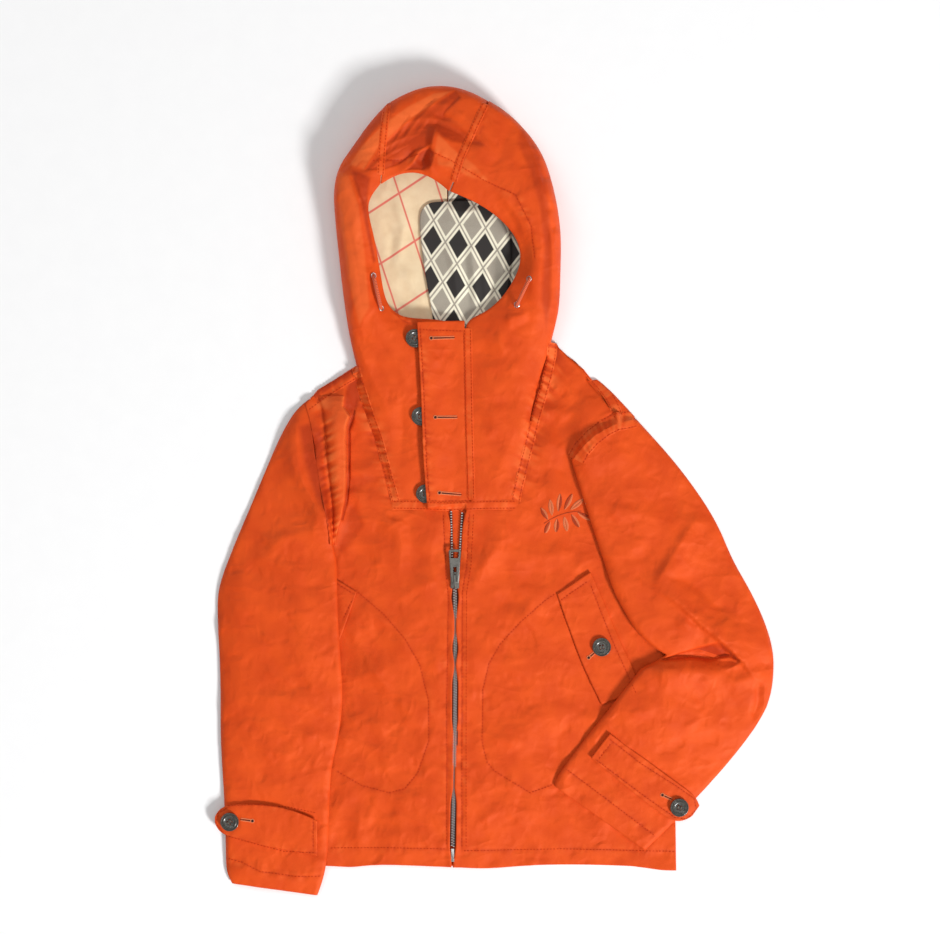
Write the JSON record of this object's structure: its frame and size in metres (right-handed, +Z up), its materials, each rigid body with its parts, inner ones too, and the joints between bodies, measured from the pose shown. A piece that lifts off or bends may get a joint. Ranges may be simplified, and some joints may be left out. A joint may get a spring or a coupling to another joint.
{
  "type": "hooded windbreaker",
  "caption": "Child's hooded windbreaker with zipped front, buttoned neck piece and strapped cuffs, laid flat on its back.",
  "frame": {"origin": "on the table, under the middle of the laid garment's box", "axes": "+X towards the wearer's left, +Y from hem to hood, +Z up from the table"},
  "size_m": [0.5574, 0.806, 0.0426],
  "materials": {
    "shell_cloth": "orange closely woven cotton and nylon with a low sheen",
    "lining_cloth": "beige cotton lining",
    "lining_figured": "cotton lining with a woven figure",
    "cord": "orange braided cord",
    "button_horn": "dark mottled imitation horn",
    "zip_metal": "antique nickel",
    "stop_metal": "bright nickel",
    "eyelet_metal": "worn nickel"
  },
  "bodies": {
    "jacket": {"back": "shell_cloth", "back_shoulder_right": "shell_cloth", "back_shoulder_left": "shell_cloth", "front_right": "shell_cloth", "front_left": "shell_cloth", "hood_side_right": "shell_cloth", "hood_side_left": "shell_cloth", "hood_centre": "shell_cloth", "hood_lining_right": "lining_cloth", "hood_lining_centre": "lining_figured", "hood_lining_left": "lining_figured", "placket": "shell_cloth", "sleeve_right": "shell_cloth", "sleeve_left": "shell_cloth", "cuff_strap_right": "shell_cloth", "cuff_strap_left": "shell_cloth", "pocket_welt_right": "shell_cloth", "pocket_welt_left": "shell_cloth", "zip_guard": "shell_cloth", "zip_chain_right": "zip_metal", "zip_chain_left": "zip_metal", "zip_slider": "zip_metal", "zip_stop": "stop_metal", "front_button_1": "button_horn", "front_button_2": "button_horn", "front_button_3": "button_horn", "pocket_button": "button_horn", "cuff_button_right": "button_horn", "cuff_button_left": "button_horn", "drawcord_right": "cord", "drawcord_left": "cord", "eyelet_right_upper": "eyelet_metal", "eyelet_right_lower": "eyelet_metal", "eyelet_left_upper": "eyelet_metal", "eyelet_left_lower": "eyelet_metal"},
    "pull_tab": {"zip_pull": "zip_metal"}
  },
  "joints": [
    {"name": "pull_tab_hinge", "type": "hinge", "parent": "jacket", "child": "pull_tab", "pos_m": [-0.0396, -0.0899, 0.01054], "axis": [1, 0, 0], "range_deg": [0, 160]}
  ]
}
